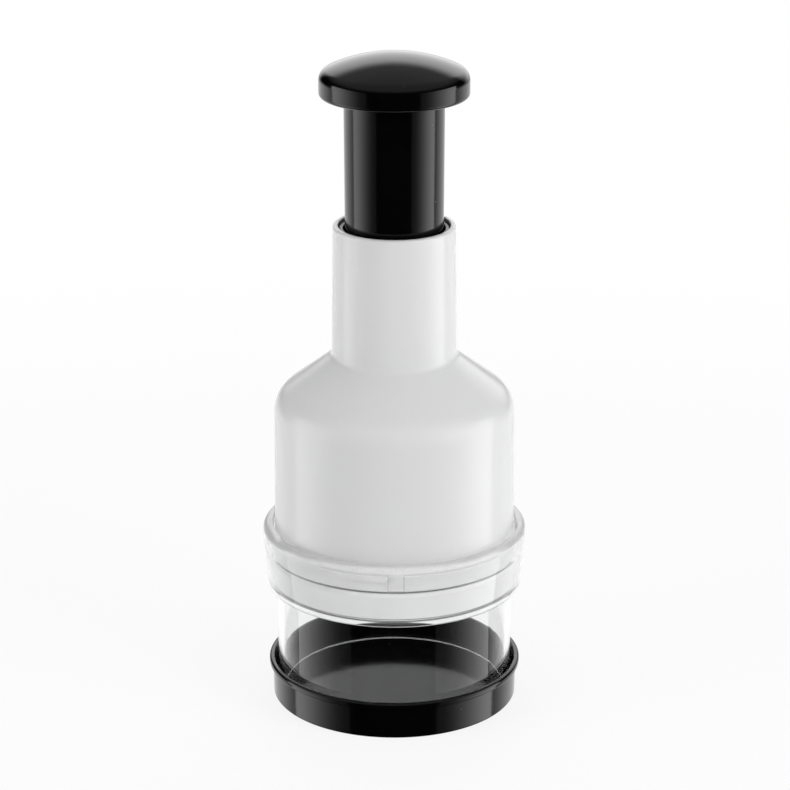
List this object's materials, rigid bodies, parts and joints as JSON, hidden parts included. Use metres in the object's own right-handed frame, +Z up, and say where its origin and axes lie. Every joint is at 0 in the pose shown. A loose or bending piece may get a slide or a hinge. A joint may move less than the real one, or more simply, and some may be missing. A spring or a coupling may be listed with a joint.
{
  "type": "plunger food chopper",
  "caption": "Hand chopper: push-down knob on a sprung plunger drives an indexing zigzag blade through a scraper in a clear cup on a black tray.",
  "frame": {"origin": "centre of the tray's foot, on the surface it stands on", "axes": "+Z up along the plunger's axis; -Y is the front, where one bayonet stop faces; +X to the right seen from the front"},
  "size_m": [0.09, 0.09, 0.2257],
  "materials": {
    "tray_black": "gloss black moulded ABS",
    "clear_plastic": "clear polished SAN",
    "housing_white": "gloss white moulded ABS",
    "sleeve_black": "satin black",
    "bearing_plastic": "natural acetal",
    "gear_plastic": "natural acetal",
    "screw_steel": "bright zinc plate",
    "stem_black": "gloss black moulded ABS",
    "knob_black": "gloss black moulded ABS",
    "spindle_steel": "ground bar",
    "spring_steel": "drawn wire and strip",
    "carrier_white": "gloss white moulded ABS",
    "blade_steel": "fine brushed with a ground edge",
    "scraper_white": "satin white moulded PP"
  },
  "bodies": {
    "tray": {"base_tray": "tray_black"},
    "container": {"clear_container": "clear_plastic"},
    "upper_housing": {"housing": "housing_white", "guide_sleeve": "sleeve_black", "spindle_bush": "bearing_plastic", "fixed_crown": "gear_plastic", "guide_screws": "screw_steel", "return_spring": "spring_steel"},
    "plunger": {"plunger_tube": "stem_black", "knob_cap": "knob_black", "spindle": "spindle_steel", "spindle_screw": "screw_steel", "spring_washer": "screw_steel", "drive_crown": "gear_plastic", "drive_pin": "screw_steel", "thrust_washer": "bearing_plastic", "spindle_clip": "spring_steel"},
    "blade_unit": {"index_wheel": "gear_plastic", "wheel_screws": "screw_steel", "blade_carrier": "carrier_white", "blade": "blade_steel"},
    "scraper": {"scraper_disc": "scraper_white"}
  },
  "joints": [
    {"name": "tray_lift", "type": "slide", "parent": "tray", "child": "container", "axis": [0, 0, 1], "range_m": [0, 0.06]},
    {"name": "bayonet_twist", "type": "hinge", "parent": "container", "child": "upper_housing", "pos_m": [0, 0, 0.06], "axis": [0, 0, 1], "range_deg": [-33, 0]},
    {"name": "plunge", "type": "slide", "parent": "upper_housing", "child": "plunger", "axis": [0, 0, -1], "range_m": [0, 0.0414], "stiffness_N_per_m": 350, "springref_m": -0.035, "deforming": ["return_spring"]},
    {"name": "blade_index", "type": "hinge", "parent": "plunger", "child": "blade_unit", "pos_m": [0, 0, 0.09], "axis": [0, 0, 1], "continuous": true},
    {"name": "scraper_turn", "type": "hinge", "parent": "upper_housing", "child": "scraper", "pos_m": [0, 0, 0.0434], "axis": [0, 0, 1], "continuous": true}
  ],
  "couplings": [
    {"joint": "scraper_turn", "follows": "blade_index", "ratio": 1}
  ]
}
